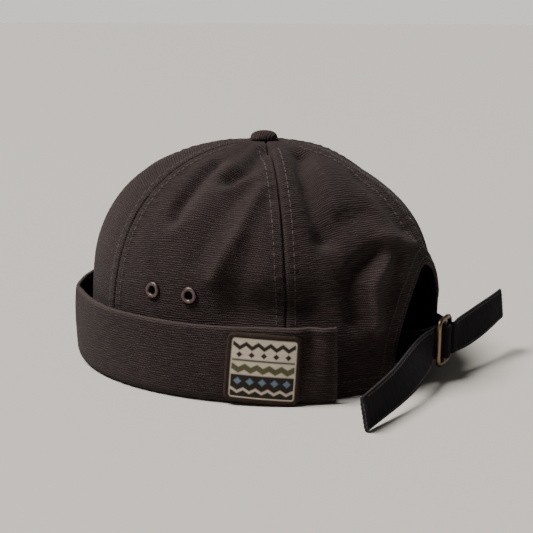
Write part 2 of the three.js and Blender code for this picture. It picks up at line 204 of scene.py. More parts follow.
def make_piece(name, points, faces, material, slot, nodes=(), uv=None, wear=None):
    """A mesh object that rides on the cap: points in millimetres, with optional UVs and edge wear."""
    mesh = new_mesh(name, points, faces.tolist())
    mesh.shade_smooth()
    mesh.set_sharp_from_angle(angle=SHARP_ANGLE)
    if uv is not None:
        layer = mesh.uv_layers.new(name="cloth")
        corners = np.empty(len(mesh.loops), np.int32)
        mesh.loops.foreach_get("vertex_index", corners)
        layer.data.foreach_set("uv", uv[corners].astype(np.float32).ravel())
    if wear is not None:
        marks = mesh.attributes.new("wear", "FLOAT", "POINT")
        marks.data.foreach_set("value", wear.astype(np.float32).ravel())
    mesh.materials.append(material)
    piece = new_object(name, mesh)
    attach(piece, "root")
    if nodes:
        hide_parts(*nodes)
    print(name, len(points), "points", len(faces), "faces")
    return piece

# %% [markdown]
# ## Shader parts
# The cloth's weave and its washed-out tone are used by several materials, so each is a node
# group. A group only gives values and colours; the Principled shader stays in the material.

# %% Node helpers
def add(tree, kind, inputs=None, **settings):
    """A new node with its settings and inputs; an input may be a value or another socket."""
    made = tree.nodes.new(kind)
    for key, value in settings.items():
        setattr(made, key, value)
    for key, value in (inputs or {}).items():
        if isinstance(value, bpy.types.NodeSocket):
            tree.links.new(value, made.inputs[key])
        else:
            made.inputs[key].default_value = value
    return made


def calc(tree, operation, a, b=0.0, c=0.0):
    """One Math node; returns its result."""
    return add(tree, "ShaderNodeMath", {0: a, 1: b, 2: c}, operation=operation).outputs[0]


def blend(tree, factor, a, b):
    """A colour between a and b."""
    made = add(tree, "ShaderNodeMix", {"Factor": factor, 6: a, 7: b}, data_type="RGBA")
    return made.outputs[2]


def noise(tree, place, scale, detail):
    """Soft noise at a place, about 0.5 on average."""
    inputs = {"Vector": place, "Scale": scale, "Detail": detail}
    return add(tree, "ShaderNodeTexNoise", inputs).outputs[0]


def ranged(tree, value, start, stop, low=0.0, high=1.0):
    """A value moved from the range start to stop into the range low to high, and held there."""
    return add(tree, "ShaderNodeMapRange", {0: value, 1: start, 2: stop, 3: low, 4: high}).outputs[0]


def wave(tree, value):
    """A sine wave between 0 and 1 that repeats once per unit of the value."""
    sine = calc(tree, "SINE", calc(tree, "MULTIPLY", value, 6.2832))
    return calc(tree, "MULTIPLY_ADD", sine, 0.5, 0.5)


def object_place(tree):
    """The place on the object, in metres."""
    return add(tree, "ShaderNodeTexCoord").outputs["Object"]


def cloth_place(tree):
    """The place on the cloth laid flat, from the mesh's UVs."""
    return add(tree, "ShaderNodeUVMap", uv_map="cloth").outputs[0]


def marked(tree):
    """The value that the mesh stores at each point for its wear."""
    return add(tree, "ShaderNodeAttribute", attribute_name="wear").outputs["Fac"]


def set_bump(tree, shader, height, distance, strength):
    """Feeds a height to the shader's normal."""
    bump = add(tree, "ShaderNodeBump", {"Height": height, "Distance": distance, "Strength": strength})
    tree.links.new(bump.outputs[0], shader.inputs["Normal"])


def new_group(name, inputs, outputs):
    """An empty shader group with float or vector inputs and float outputs."""
    group = bpy.data.node_groups.new(name, "ShaderNodeTree")
    for key, kind, value in inputs:
        socket = group.interface.new_socket(key, in_out="INPUT", socket_type=kind)
        if value is not None:
            socket.default_value = value
    for key in outputs:
        group.interface.new_socket(key, in_out="OUTPUT", socket_type="NodeSocketFloat")
    return group, group.nodes.new("NodeGroupInput").outputs, group.nodes.new("NodeGroupOutput").inputs


def use_group(tree, group, inputs):
    """A node that uses a group; returns its outputs."""
    return add(tree, "ShaderNodeGroup", inputs, node_tree=group).outputs


def weave_group():
    """Ribs across the cloth, threads that step sideways from rib to rib, and long uneven slubs; the
    second output darkens the grooves between ribs as painted shade, with random flecks.
    """
    group, given, result = new_group("woven ribs", [
        ("Place", "NodeSocketVector", None), ("Rib", "NodeSocketFloat", 1.1),
        ("Thread", "NodeSocketFloat", 0.8)], ["Height", "Fleck and groove shade"])
    place = add(group, "ShaderNodeSeparateXYZ", {0: given["Place"]}).outputs
    wander = calc(group, "MULTIPLY_ADD", noise(group, given["Place"], 0.30, 3.0), 1.6, place[1])
    row = calc(group, "DIVIDE", wander, given["Rib"])
    step = calc(group, "MULTIPLY", calc(group, "FLOOR", calc(group, "ADD", row, 0.25)), 0.5)
    column = calc(group, "ADD", calc(group, "DIVIDE", place[0], given["Thread"]), step)
    thread = calc(group, "MULTIPLY_ADD", wave(group, column), 0.6, 0.4)
    long = add(group, "ShaderNodeMapping", {"Vector": given["Place"], "Scale": (0.16, 0.85, 1.0)})
    uneven = ranged(group, noise(group, long.outputs[0], 1.0, 3.0), 0.3, 0.7, 0.25, 1.0)
    height = calc(group, "MULTIPLY", calc(group, "MULTIPLY", wave(group, row), thread), uneven)
    fleck = noise(group, given["Place"], 1.3, 3.0)
    group.links.new(height, result["Height"])
    # Colour output: darker in the rib grooves as painted shade, times random flecks.
    group.links.new(calc(group, "MULTIPLY", height, fleck), result["Fleck and groove shade"])
    return group


def wash_group():
    """Slow changes of tone over the cap, as washing and wear leave them, and a fine lint."""
    inputs = [("Place", "NodeSocketVector", None)]
    group, given, result = new_group("washed tone", inputs, ["Wash", "Lint"])
    lint = ranged(group, noise(group, given["Place"], 900.0, 2.0), 0.6, 0.8)
    group.links.new(noise(group, given["Place"], 28.0, 4.0), result["Wash"])
    group.links.new(lint, result["Lint"])
    return group


WEAVE = weave_group()
WASH = wash_group()
print("groups:", WEAVE.name, WASH.name)

# %% [markdown]
# ## Cloth and metal
# Canvas is matt: a high roughness, a little sheen for the fuzz of the fibres, and a bump from
# the weave, whose grooves are also darkened in the colour as painted shade. The weave is measured
# in millimetres on the cloth's own UVs, so it follows each panel as real cloth cut flat would.
# Worn edges are lighter, where the mesh says so.

# %% Materials
def start_material(name, roughness, sheen=0.0, metallic=0.0):
    """A material with one Principled shader; returns it with its tree and shader."""
    material = bpy.data.materials.new(name)
    material.use_nodes = True
    shader = material.node_tree.nodes["Principled BSDF"]
    shader.inputs["Roughness"].default_value = roughness
    shader.inputs["Metallic"].default_value = metallic
    shader.inputs["Sheen Weight"].default_value = sheen
    shader.inputs["Sheen Roughness"].default_value = 0.5
    return material, material.node_tree, shader


def cloth_material(name, dark, light, worn, rib, thread, depth, sheen):
    """Woven cloth: ribs and threads in the bump; washed tone and painted shade in the weave's grooves
    in the colour; paler worn edges.
    """
    material, tree, shader = start_material(name, 0.92, sheen)
    shader.inputs["Specular IOR Level"].default_value = 0.1
    weave = use_group(tree, WEAVE, {"Place": cloth_place(tree), "Rib": rib, "Thread": thread})
    wash = use_group(tree, WASH, {"Place": object_place(tree)})
    slow = calc(tree, "MULTIPLY_ADD", wash["Wash"], 0.3, -0.1)
    # The colour darkens in the weave's grooves as painted shade, and shifts with the washed tone.
    tone = calc(tree, "MULTIPLY_ADD", weave["Fleck and groove shade"], 2.5, slow)
    colour = blend(tree, tone, (*dark, 1), (*light, 1))
    paler = calc(tree, "MULTIPLY", marked(tree), calc(tree, "MULTIPLY_ADD", wash["Lint"], 0.5, 0.5))
    colour = blend(tree, paler, colour, (*worn, 1))
    tree.links.new(colour, shader.inputs["Base Color"])
    set_bump(tree, shader, weave["Height"], depth, 0.8)
    return material


def thread_material(name, dark, light):
    """Sewing thread: two close tones along its twist."""
    material, tree, shader = start_material(name, 0.75, 0.2)
    twist = noise(tree, object_place(tree), 1400.0, 1.0)
    tree.links.new(blend(tree, twist, (*dark, 1), (*light, 1)), shader.inputs["Base Color"])
    return material


def metal_material(name, dull, bright, roughness):
    """Antique metal: dark in the recesses, rubbed bright where the mesh marks an edge."""
    material, tree, shader = start_material(name, roughness, 0.0, 1.0)
    stain = noise(tree, object_place(tree), 420.0, 4.0)
    rubbed = calc(tree, "MULTIPLY", marked(tree), calc(tree, "MULTIPLY_ADD", stain, 0.9, 0.35))
    tree.links.new(blend(tree, rubbed, (*dull, 1), (*bright, 1)), shader.inputs["Base Color"])
    spread = ranged(tree, stain, 0.0, 1.0, roughness - 0.12, roughness + 0.15)
    tree.links.new(spread, shader.inputs["Roughness"])
    set_bump(tree, shader, stain, 0.0001, 0.4)
    return material


CANVAS = cloth_material("washed canvas", (0.0060, 0.0040, 0.0040), (0.058, 0.0405, 0.0395),
                        (0.090, 0.068, 0.064), 1.15, 0.8, 0.0008, 0.03)
TAPE = cloth_material("strap tape", (0.0034, 0.0030, 0.0042), (0.0095, 0.0083, 0.0112),
                      (0.040, 0.036, 0.038), 0.55, 0.5, 0.0002, 0.03)
THREAD = thread_material("seam thread", (0.008, 0.0064, 0.0060), (0.036, 0.029, 0.0275))
TAPE_THREAD = thread_material("strap thread", (0.007, 0.0066, 0.008), (0.036, 0.0335, 0.037))
DARK_THREAD = thread_material("hem thread", (0.005, 0.004, 0.004), (0.022, 0.017, 0.0165))
BRONZE = metal_material("antique bronze", (0.035, 0.026, 0.022), (0.165, 0.122, 0.116), 0.45)
BRASS = metal_material("antique brass", (0.050, 0.036, 0.024), (0.29, 0.205, 0.115), 0.34)
print("materials:", len(bpy.data.materials))

# %% [markdown]
# ## The crown's surface
# The crown is one smooth egg-shaped dome, given by two numbers: the angle round the head and
# the rise from the base to the apex. Folds push it in or out along its own outward direction.
# A formula gives the same shape at any density, so the CAD solids and these finer sheets agree.

# %% Crown surface
TURN_STEP, RISE_STEP, ROUND_STEP = 0.007, 0.004, 0.01


def plan(angle, out=0.0):
    """Base outline: an ellipse, wider towards the front, moved outward by a distance."""
    s, c = np.sin(angle), np.cos(angle)
    return np.stack([HALF_WIDTH * s * (1 + EGG * c) + out * s, -HALF_LENGTH * c - out * c, 0 * s], -1)


def rise_at(z):
    """Rise of a height: the inverse of the dome's height formula."""
    lift = np.arcsin(np.clip(np.asarray(z, float) / CROWN_HEIGHT, 0, 1) ** RISE_POWER)
    return (lift / (np.pi / 2)) ** (1 / RISE_POWER)


def smooth_crown(angle, rise):
    """Height is a power of the sine of the lift, reach a power of its cosine; panels bulge a little."""
    lift = (np.pi / 2) * np.clip(rise, 0, 1) ** RISE_POWER
    z = CROWN_HEIGHT * np.sin(lift) ** (1 / RISE_POWER)
    lobe = LOBE * np.abs(np.sin(3 * angle)) * smoothstep(z, *LOBE_HEIGHTS)
    p = plan(angle) * (np.maximum(np.cos(lift), 0) ** REACH_POWER * (1 + lobe))[..., None]
    p[..., 2] = z
    return p


def crown_out(angle, rise):
    """Outward direction: the cross product of a small step round and a small step up."""
    low = np.maximum(rise - RISE_STEP, 0)
    along = smooth_crown(angle + TURN_STEP, rise) - smooth_crown(angle - TURN_STEP, rise)
    upward = smooth_crown(angle, low + 2 * RISE_STEP) - smooth_crown(angle, low)
    return unit(np.cross(along, upward))


def line_away(p, start, end):
    """Distance of each point to a straight line from start to end."""
    line = end - start
    share = np.clip(((p - start) @ line) / (line @ line), 0, 1)
    return np.linalg.norm(p - start - share[..., None] * line, axis=-1)


def fold_depth(p):
    """Sum over the folds of depth times a bell curve of the distance to the fold's path."""
    total = np.zeros(p.shape[:-1])
    for width, depth, path in FOLDS:
        angles, heights = np.array(path).T
        spots = smooth_crown(np.radians(angles), rise_at(heights))
        away = np.min([line_away(p, *ends) for ends in zip(spots, spots[1:])], axis=0)
        total += depth * bell(away, width)
    return total


RISES = np.linspace(0, 1, 600)
CLIMBS = walked(smooth_crown(np.full(len(RISES), np.radians(90.0)), RISES))


def climb(rise):
    """Length in millimetres from the base up the cloth to a rise, taken at the side of the head."""
    return np.interp(rise, RISES, CLIMBS)


def round_reach(angle, rise):
    """Millimetres of cloth per radian round the head."""
    step = smooth_crown(angle + ROUND_STEP, rise) - smooth_crown(angle - ROUND_STEP, rise)
    return np.linalg.norm(step, axis=-1) / (2 * ROUND_STEP)


def bend(angle, rise):
    """Bend of the weave's lines in a panel laid flat: the loss of reach per climb, over the reach."""
    low, high = np.maximum(rise - RISE_STEP, 0), np.minimum(rise + RISE_STEP, 0.995)
    lost = round_reach(angle, low) - round_reach(angle, high)
    return np.clip(lost / (climb(high) - climb(low)) / round_reach(angle, rise), 0, 0.5)


def seam_away(angle, rise):
    """Distance along the cloth to the nearest of the six seams."""
    seam = np.round(angle / (np.pi / 3)) * (np.pi / 3)
    return np.abs(angle - seam) * round_reach(angle, rise)


SEAM_GROOVE, LAP_RISE, PUCKER_PITCH = 1.4, 0.45, 5.4


def seam_relief(angle, rise):
    """A groove on the seam, a raised lap beside it, a dent under the stitches and a slight pucker."""
    away = seam_away(angle, rise)
    room = smoothstep(round_reach(angle, rise), 8, 26)
    lap = LAP_RISE * (smoothstep(away, 0.2, 1.0) - smoothstep(away, 5.0, 6.6))
    dent = -0.25 * bell(away - SEAM_STITCH, 0.6)
    pucker = 0.2 * np.sin(climb(rise) * 2 * np.pi / PUCKER_PITCH) * bell(away - 4.5, 2.5)
    return -SEAM_GROOVE * bell(away, 0.5) + room * (lap + dent + pucker)


# Soft waves: size, waves round the head, turn per millimetre of climb, start.
DRAPE_WAVES = ((0.4, 9, 0.021, 0), (0.28, 17, -0.034, 1.3), (0.2, 5, 0.11, 0.4))


def drape(angle, rise):
    """Soft waves of the cloth: three sines of angle and height, small beside the folds."""
    z = climb(rise)
    waves = 0
    for size, count, turn, start in DRAPE_WAVES:
        waves = waves + size * np.sin(count * angle + turn * z + start)
    return waves * smoothstep(seam_away(angle, rise), 4, 14) * smoothstep(z, 45, 75)


def canvas_relief(angle, rise, fold):
    """All that lifts or presses the crown's outer face, in millimetres: folds, seams and waves."""
    return fold + seam_relief(angle, rise) + drape(angle, rise)


def canvas(angle, rise):
    """Points and outward directions of the finished crown surface."""
    smooth, out = smooth_crown(angle, rise), crown_out(angle, rise)
    return smooth + out * canvas_relief(angle, rise, fold_depth(smooth))[..., None], out


def eyelet_place(angle):
    """Place and facing of an eyelet: the cross product of two steps as wide as its flange."""
    angle, rise = np.radians(np.array([angle])), rise_at(np.array([EYELET_Z]))
    step = EYELET_FLANGE / round_reach(angle, rise)
    lift = EYELET_FLANGE / CLIMBS[-1]
    around = canvas(angle + step, rise)[0] - canvas(angle - step, rise)[0]
    upward = canvas(angle, rise + lift)[0] - canvas(angle, rise - lift)[0]
    return canvas(angle, rise)[0][0], unit(np.cross(around, upward))[0]


print("cloth from base to apex:", round(float(CLIMBS[-1]), 1), "mm")

# %% [markdown]
# ## Six crown panels
# A real panel is cut flat, sewn to its neighbours and hemmed below. Here a panel is a grid
# that fans from its lower edge to the ring under the button. The two back panels follow the
# hem, the leg and the arch of the opening, so the arch needs no cutting afterwards.

# %% Panel grids
ROWS, COLS = ((150, 150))


def hem_height(angle):
    """Lower edge: above the cuff's floor, then down to the ground behind the cuff's ends."""
    past = np.clip((np.abs(angle) - CUFF_END - 0.6) / 2.4, 0, 1)
    return (CUFF_CLOTH + 0.3) * (1 - past)


def arch_angle(x):
    """Angle round the head of a distance from the back seam."""
    return 180 - np.degrees(np.arcsin(x / (HALF_WIDTH * (1 - EGG))))


def back_edge():
    """Angles and heights of a back panel's lower edge: hem, leg, then a superellipse arch."""
    corner = arch_angle(ARCH_HALF)
    along = np.linspace(120, corner, 80)
    turn = np.linspace(0, np.pi / 2, 120)
    x = ARCH_HALF * np.maximum(np.cos(turn), 0) ** (2 / ARCH_FULL)
    arch_z = ARCH_LEG + ARCH_RISE * np.sin(turn) ** (2 / ARCH_FULL)
    leg_z = np.linspace(0, ARCH_LEG, 20)[1:-1]
    angles = np.concatenate([along, np.full(len(leg_z), corner), arch_angle(x)])
    return angles, np.concatenate([hem_height(along), leg_z, arch_z])


def even_edge(angles, heights):
    """The same edge at evenly spaced columns."""
    line = smooth_crown(np.radians(angles), rise_at(heights))
    length = walked(line)
    even = np.linspace(0, length[-1], COLS)
    return np.interp(even, length, angles), np.interp(even, length, heights)


def edge_away(p, line):
    """Distance of each point of a grid to the nearest of a line's points."""
    flat = p.reshape(-1, 3)
    gap = (flat ** 2).sum(1)[:, None] + (line ** 2).sum(1)[None] - 2 * flat @ line.T
    return np.sqrt(np.maximum(gap.min(1), 0)).reshape(p.shape[:2])


def hem_relief(away):
    """A hem: a rolled edge, a thicker folded band and dents under its two rows of stitches."""
    folded = LAP_RISE * (1 - smoothstep(away, 8.6, 10.2)) - 0.9 * bell(away, 0.7)
    return folded - 0.2 * sum(bell(away - row, 0.55) for row in HEM_STITCHES)


def panel_grid(start, stop, angles, heights):
    """Angle and rise of every grid point: straight lines from the lower edge to the apex ring."""
    angles, heights = even_edge(angles, heights)
    share = np.linspace(0, 1, ROWS)[:, None]
    rise = (1 - share) * rise_at(heights) + share * APEX
    angle = (1 - share) * angles + share * np.linspace(start, stop, COLS)
    middle, half = (start + stop) / 2, (stop - start) / 2
    reach = np.maximum(round_reach(np.radians(angle), rise), 3)
    angle = middle + (angle - middle) * (1 + np.degrees(SEAM_LAP / 2 / reach) / half)
    return np.radians(angle), rise


HEM_LINES = []


def crown_panel(name, node, start, stop, back=False):
    """One panel: outer face with its relief, inner face one cloth further in."""
    if back:
        angles, heights = back_edge()
        if start < 0:
            angles, heights = -angles[::-1], heights[::-1]
    else:
        angles = np.linspace(start, stop, 60)
        heights = hem_height(angles)
    angle, rise = panel_grid(start, stop, angles, heights)
    smooth, out = smooth_crown(angle, rise), crown_out(angle, rise)
    fold = fold_depth(smooth)
    relief = canvas_relief(angle, rise, fold)
    wear = 0.12 * bell(seam_away(angle, rise) - 1.3, 0.9) + 0.3 * smoothstep(fold, 0, 2.2)
    if back:
        bare = np.abs(np.degrees(angle[0])) > CUFF_END + 3
        away = edge_away(smooth, smooth[0][bare])
        relief = relief + hem_relief(away)
        wear = np.maximum(wear, 0.5 * bell(away, 1.1))
    front = smooth + out * relief[..., None]
    if back:
        HEM_LINES.append((front, out, away, bare))
    points, faces = sheet(front, smooth + out * (fold - CLOTH)[..., None])
    across = (angle - np.radians((start + stop) / 2)) * round_reach(angle, rise)
    cloth = np.stack([across, climb(rise) + across ** 2 * bend(angle, rise) / 2], -1).reshape(-1, 2)
    return make_piece(name, points, faces, CANVAS, "canvas", [node], uv=np.concatenate([cloth, cloth]),
                      wear=np.concatenate([wear.ravel(), 0 * wear.ravel()]))


def punch(panel, angles):
    """Cuts a round hole for each eyelet: a long cylinder along the eyelet's own direction."""
    count, depth = 32, 8
    turn = full_turn(count)
    circle = EYELET_HOLE * np.stack([np.cos(turn), np.sin(turn)], -1)
    ends = [np.arange(count)[::-1].tolist(), np.arange(count, 2 * count).tolist()]
    for where, out in map(eyelet_place, angles):
        side = unit(np.cross([0, 0, 1.0], out))
        ring = where + circle @ np.stack([side, np.cross(out, side)])
        points, faces = tube(np.stack([ring - depth * out, ring + depth * out]), False)
        cutter = new_object("punch", new_mesh("punch", points, faces.tolist() + ends))
        hole = panel.modifiers.new("hole", "BOOLEAN")
        hole.operation, hole.object, hole.solver = "DIFFERENCE", cutter, "EXACT"
        finished = panel.evaluated_get(bpy.context.evaluated_depsgraph_get())
        cut = bpy.data.meshes.new_from_object(finished)
        panel.modifiers.clear()
        panel.data = cut
        bpy.data.objects.remove(cutter)
    print(panel.name, "holes:", len(angles), "faces:", len(panel.data.polygons))


# %% [markdown]
# ## Make the panels
# Each panel takes the place of its own solid. The side panels are punched for their eyelets
# afterwards, because a round hole is simpler to cut than to lay out on a grid.

# %% Make the panels
crown_panel("crown_front_left", "panel_front_left", 0, 60)
crown_panel("crown_front_right", "panel_front_right", -60, 0)
punch(crown_panel("crown_side_left", "panel_side_left", 60, 120), EYELET_ANGLES)
punch(crown_panel("crown_side_right", "panel_side_right", -120, -60), [-a for a in EYELET_ANGLES])
crown_panel("crown_back_left", "panel_back_left", 120, 180, back=True)
crown_panel("crown_back_right", "panel_back_right", -180, -120, back=True)

# %% [markdown]
# ## The button
# A cap's button is a metal shell covered in the crown's cloth. Turning a profile round the
# axis gives its shape; a few shallow gathers show that the cloth is pulled under its rim.

# %% Button
def rounded(points, times=3):
    """Corner cutting: each pass replaces a corner by points a quarter and three quarters along."""
    points = np.asarray(points, float)
    for _ in range(times):
        near, far = points[:-1], points[1:]
        cut = np.stack([0.75 * near + 0.25 * far, 0.25 * near + 0.75 * far], 1)
        points = np.concatenate([points[:1], cut.reshape(-1, points.shape[1]), points[-1:]])
    return points


def turned(profile, count, gathers=0.0):
    """A profile of radius and height turned about Z, with optional gathers near its rim."""
    turn = full_turn(count)
    radius, z = profile[:, :1], profile[:, 1:]
    pull = 1 + gathers * np.sin(14 * turn) * smoothstep(radius, 4.5, 7)
    return np.stack([radius * pull * np.cos(turn), radius * pull * np.sin(turn), z + 0 * turn], -1)


BUTTON_SIDES = 96
base = CROWN_HEIGHT + 0.1
dome = rounded([(0.02, base - 3), (2.6, base - 3), (2.6, base), (7.0, base), (7.5, base + 0.9),
                (7.0, base + 2.9), (5.0, base + 4.4), (2.4, base + 5.0), (0.02, base + 5.1)])
points, faces = tube(turned(dome, BUTTON_SIDES, 0.008), False)
wear = np.repeat(bell(dome[:, 1] - base - 1.6, 1.2) * 0.25, BUTTON_SIDES)
make_piece("button", points, faces, CANVAS, "canvas", ["top_button"], uv=points[:, :2], wear=wear)

# %% [markdown]
# ## The cuff
# The cuff is the crown's own cloth folded up round the outside. Its section is a J: a floor
# under the crown's wall, a soft fold and a tall side. The section is swept round the head, and
# small waves keep the edge from looking machined.

# %% Cuff
CUFF_COLS = 420
SECTION = rounded(CUFF_SECTION, 3)


# Bumps in the cuff that grow to its top, then the roll at its edge: size, angle, width.
CUFF_BUMPS = ((1.1, 33, 4.5), (0.8, -40, 6), (-2.3, 126.5, 2.3), (0.7, 131, 2.2))
CUFF_ROLL = (1.1, 126, 8)


def cuff_wave(angle, z):
    """Outward waves of the cuff, growing to its top, with soft corners and a roll above its tuck."""
    degrees = np.degrees(angle)
    waves = 0.45 * np.sin(5 * angle + 0.6) + 0.3 * np.sin(11 * angle + 2.0)
    for size, place, width in CUFF_BUMPS:
        waves = waves + size * bell(degrees - place, width)
    size, place, width = CUFF_ROLL
    return smoothstep(z, 4, 36) * waves + size * smoothstep(z, 33, 37) * bell(degrees - place, width)


def cuff_reach(angle):
    """Distance from the crown's base to the middle of the cuff's cloth, largest at the front."""
    return CUFF_ENDS_REACH + CUFF_FRONT_EXTRA * np.cos(angle / 2) ** 2 - CUFF_CLOTH / 2


def cuff_face(angle, side):
    """Outer (side 1) or inner (side -1) face: the section's middle line moved by half the cloth."""
    share, plus, up, thick = SECTION.T[:, :, None]
    out = share * cuff_reach(angle) + plus + cuff_wave(angle[None], up)
    run = np.stack([np.gradient(up + 0 * out, axis=0), -np.gradient(out, axis=0)], -1)
    run = unit(run) * (side * thick * CUFF_CLOTH / 2)[..., None]
    p = plan(angle[None] + 0 * out, out + run[..., 0])
    p[..., 2] = up + run[..., 1]
    return p


cuff_angles = np.radians(np.linspace(-CUFF_END, CUFF_END, CUFF_COLS))
outer, inner = cuff_face(cuff_angles, 1), cuff_face(cuff_angles, -1)
points, faces = sheet(outer, inner)
cloth = np.broadcast_arrays(walked(plan(cuff_angles))[None], walked(outer[:, 0])[:, None])
cloth = np.stack(cloth, -1).reshape(-1, 2)
rim = bell(SECTION[:, 2] - SECTION[-1, 2], 1.6)[:, None] * 0.55
ends = bell(CUFF_END - np.abs(np.degrees(cuff_angles)), 0.9)[None] * 0.4
wear = np.maximum(rim, ends).ravel()
make_piece("turned_cuff", points, faces, CANVAS, "canvas", ["cuff"],
           uv=np.concatenate([cloth, cloth]), wear=np.concatenate([wear, wear * 0.6]))

# %% [markdown]
# ## Stitches
# One stitch is a tiny pod. Copies are laid along lines on the cloth: two rows beside each
# seam and two along the back opening's hem. The straps get theirs when they are made. A mesh
# of real stitches catches the light as the thread does, which a painted dash cannot.

# %% Stitches
STITCH_LIFT, STITCH_FLAT = 0.1, 0.7


def pod():
    """One stitch, 1 long: rings whose radius follows the sixth root of one less a fourth power."""
    along = np.linspace(-0.5, 0.5, 7)[:, None]
    radius = np.maximum(1 - (2 * along) ** 4, 0.001) ** (1 / 6)
    turn = full_turn(6)[None]
    return tube(np.stack([along + 0 * turn, radius * np.cos(turn), radius * np.sin(turn)], -1), False)


def along_line(walk, values, at):
    """Values of a line's points at other lengths along it."""
    return np.stack([np.interp(at, walk, column) for column in values.T], -1)


def stitch_row(line, out, pitch=2.9, length=2.2, half=0.25):
    """Copies of the pod along a line, each turned to the line's direction and the cloth's face."""
    walk = walked(line)
    at = np.arange(pitch / 2, walk[-1] - pitch / 2, pitch)
    centre = along_line(walk, line, at)
    up = unit(along_line(walk, out, at))
    run = unit(along_line(walk, line, at + 0.5) - centre)
    side = np.cross(up, run)
    shape, faces = POD
    ahead, across, high = (shape[None, :, k:k + 1] for k in range(3))
    points = (centre[:, None] + STITCH_LIFT * up[:, None] + length * ahead * run[:, None]
              + half * across * side[:, None] + STITCH_FLAT * half * high * up[:, None])
    starts = np.arange(len(at))[:, None, None] * len(shape)
    return points.reshape(-1, 3), (faces[None] + starts).reshape(-1, 4)


def seam_row(seam, offset):
    """A row of stitches beside a seam, a fixed distance from it along the cloth."""
    low = 3.5 if abs(seam) < 180 else ARCH_LEG + ARCH_RISE + 3
    rise = np.linspace(rise_at(low), rise_at(CROWN_HEIGHT - 1.3), 260)
    seam = np.full(len(rise), np.radians(seam))
    angle = seam + offset / np.maximum(round_reach(seam, rise), 12)
    return stitch_row(*canvas(angle, rise))


def hem_row(front, out, away, bare, offset):
    """A row of stitches a fixed distance inside a hem: the first grid row past that distance."""
    row = np.argmax(away > offset, axis=0)[bare]
    col = np.flatnonzero(bare)
    keep = row > 0
    return stitch_row(front[row[keep], col[keep]], out[row[keep], col[keep]])


POD = pod()
seams = (0, 60, 120, 180, -120, -60)
rows = [seam_row(seam, offset) for seam in seams for offset in (-SEAM_STITCH, SEAM_STITCH)]
make_piece("crown_stitches", *joined(*rows), THREAD, "canvas")
rows = [hem_row(*hem, offset) for hem in HEM_LINES for offset in HEM_STITCHES]
make_piece("hem_stitches", *joined(*rows), DARK_THREAD, "canvas")

# %% [markdown]
# ## Eyelets
# An eyelet is a turned ring: a rolled flange outside, a barrel through the cloth and a washer
# inside. Each is turned to face as the cloth under its flange does.

# %% Eyelets
EYELET_LIFT, EYELET_SIDES = 0.2, 64
EYELET_PROFILE = rounded([
    (1.75, -0.6), (1.75, -2.6), (3.5, -2.6), (3.6, -1.8), (2.4, -1.8), (2.4, -0.1), (4.1, -0.1),
    (EYELET_FLANGE, 0.4), (3.9, 1.1), (3.0, 1.3), (2.2, 1.0), (1.75, 0.2), (1.75, -0.6)], 2)[:-1]


def eyelet(name, node, angle):
    """A closed ring profile turned about the direction that the cloth faces."""
    where, out = eyelet_place(angle)
    side = unit(np.cross([0, 0, 1.0], out))
    axes = np.stack([side, np.cross(out, side), out])
    rings = turned(EYELET_PROFILE, EYELET_SIDES) @ axes + where + EYELET_LIFT * out
    wear = np.repeat(smoothstep(EYELET_PROFILE[:, 1], 0.85, 1.28), EYELET_SIDES)
    make_piece(name, *tube(rings, True), BRONZE, "eyelet_metal", [node], wear=wear)


eyelet("vent_left_front", "eyelet_left_front", EYELET_ANGLES[0])
eyelet("vent_left_back", "eyelet_left_back", EYELET_ANGLES[1])
eyelet("vent_right_front", "eyelet_right_front", -EYELET_ANGLES[0])
eyelet("vent_right_back", "eyelet_right_back", -EYELET_ANGLES[1])

# %% [markdown]
# ## The patch
# The patch is a woven square with a thick sewn border. It is bent over the cuff: each point
# of the square takes the cuff's outward place at its angle and height. Its design is plain
# shapes only, which the material makes from the patch's own UVs.

# %% Patch material
PATCH_PITCH = 0.16


def mask(tree, value, edge, soft=0.012):
    """1 where value is above edge, with a soft change."""
    return ranged(tree, value, edge - soft, edge + soft)


def band(tree, level, low, high):
    """1 where a level lies between low and high."""
    return calc(tree, "SUBTRACT", mask(tree, level, low), mask(tree, level, high))


def zigzag(tree, x, y, tall, low, high):
    """1 in a zigzag band: y less a triangle wave of x lies between two levels."""
    teeth = calc(tree, "PINGPONG", x, PATCH_PITCH / 2)
    level = calc(tree, "MULTIPLY_ADD", teeth, -2 * tall / PATCH_PITCH, y)
    return band(tree, level, low, high)


def diamonds(tree, x, y, height, size):
    """1 in a row of diamonds: sideways plus upward distance from each centre under a size."""
    cell = calc(tree, "PINGPONG", x, PATCH_PITCH / 2)
    tall = calc(tree, "ABSOLUTE", calc(tree, "SUBTRACT", y, height))
    return mask(tree, calc(tree, "SUBTRACT", size, calc(tree, "ADD", cell, tall)), 0.0)


